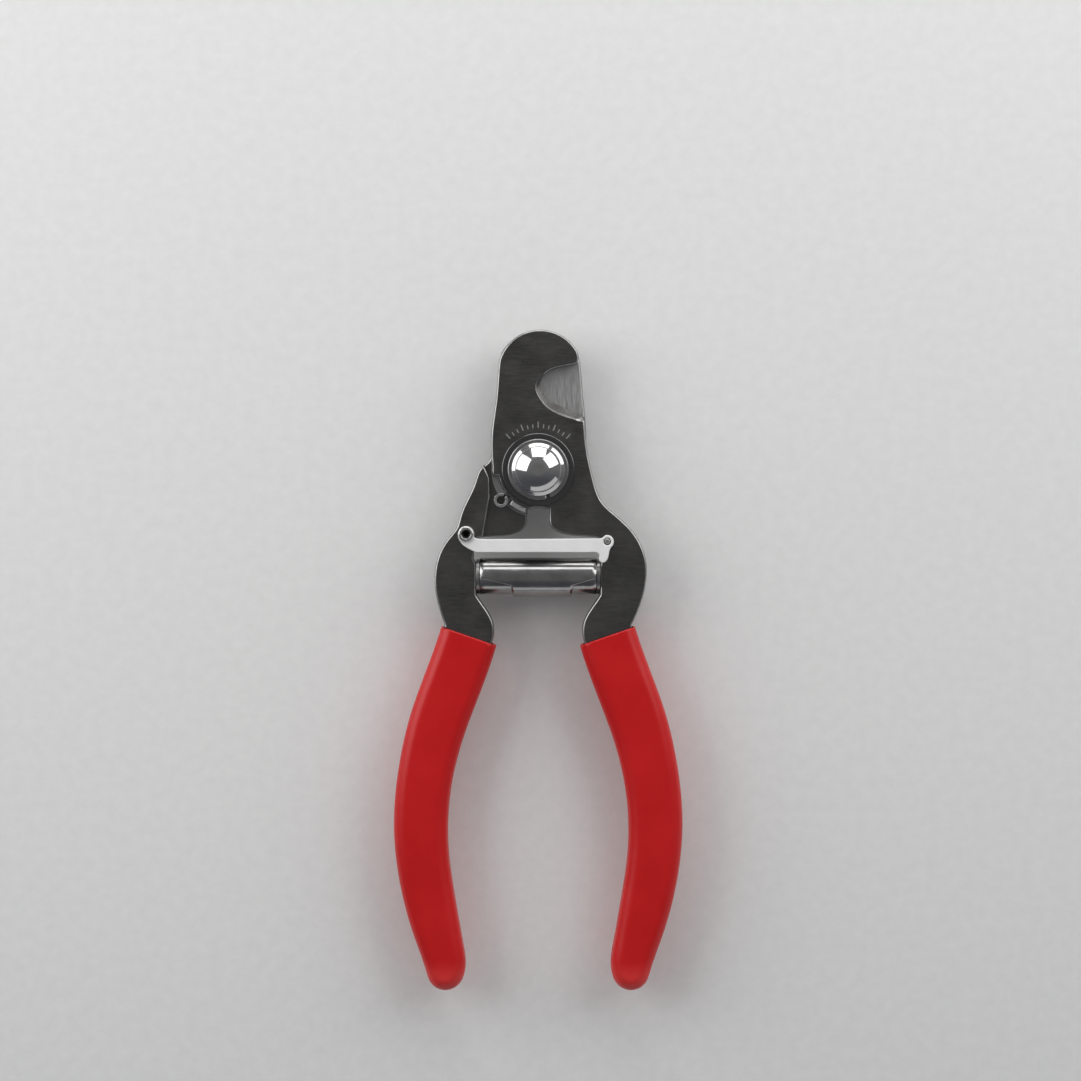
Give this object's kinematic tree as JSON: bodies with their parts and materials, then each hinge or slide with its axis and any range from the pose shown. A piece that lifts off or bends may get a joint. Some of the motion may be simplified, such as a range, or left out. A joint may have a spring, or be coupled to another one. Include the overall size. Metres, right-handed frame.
{
  "type": "pet nail trimmer",
  "caption": "Plier-style pet nail trimmer with notched bypass blades, a volute spring, a lock strap, a rear safety stop bar and dipped vinyl grips.",
  "frame": {"origin": "on the pivot axis, at the flat rear face of the bolt head, where the trimmer rests when it lies on its back", "axes": "+Y from the pivot towards the blade tips, +Z along the pivot axis towards the dome nut, +X towards the grip of the front lever"},
  "size_m": [0.0576, 0.1317, 0.0155],
  "materials": {
    "lever_steel": "dark nickel-like polish, with ground satin lap faces",
    "red_vinyl": "smooth dipped vinyl, semi-gloss",
    "bolt_steel": "oiled steel",
    "washer_steel": "nickel plate",
    "guard_steel": "satin nickel plate",
    "bright_plate": "polished chrome",
    "spring_plate": "bright nickel plate"
  },
  "bodies": {
    "rear_lever": {"rear_lever": "lever_steel", "left_grip": "red_vinyl", "pivot_bolt": "bolt_steel", "rear_washer": "washer_steel", "guard_pin": "bolt_steel", "pivot_washer": "washer_steel", "lock_washer": "bolt_steel", "dome_nut": "bright_plate", "stop_pin": "washer_steel", "left_spring_peg": "bolt_steel", "latch_rivet": "washer_steel", "latch_washer": "washer_steel", "volute_spring": "spring_plate"},
    "front_lever": {"front_lever": "lever_steel", "right_grip": "red_vinyl", "right_spring_peg": "bolt_steel", "keeper_stud": "washer_steel"},
    "lock_strap": {"latch_strap": "bright_plate"},
    "stop_bar": {"stop_bar": "guard_steel"}
  },
  "joints": [
    {"name": "handle_open", "type": "hinge", "parent": "rear_lever", "child": "front_lever", "pos_m": [0, 0, 0.007], "axis": [0, 0, 1], "range_deg": [0, 22], "stiffness_Nm_per_rad": 1.3, "springref_deg": 26.93, "deforming": ["volute_spring"]},
    {"name": "latch_swing", "type": "hinge", "parent": "rear_lever", "child": "lock_strap", "pos_m": [-0.0143, -0.01285, 0.0111], "axis": [0, 0, 1], "range_deg": [0, 25]},
    {"name": "stop_bar_swing", "type": "hinge", "parent": "rear_lever", "child": "stop_bar", "pos_m": [0, 0, 0.0038], "axis": [0, 0, 1], "range_deg": [0, 75]}
  ]
}
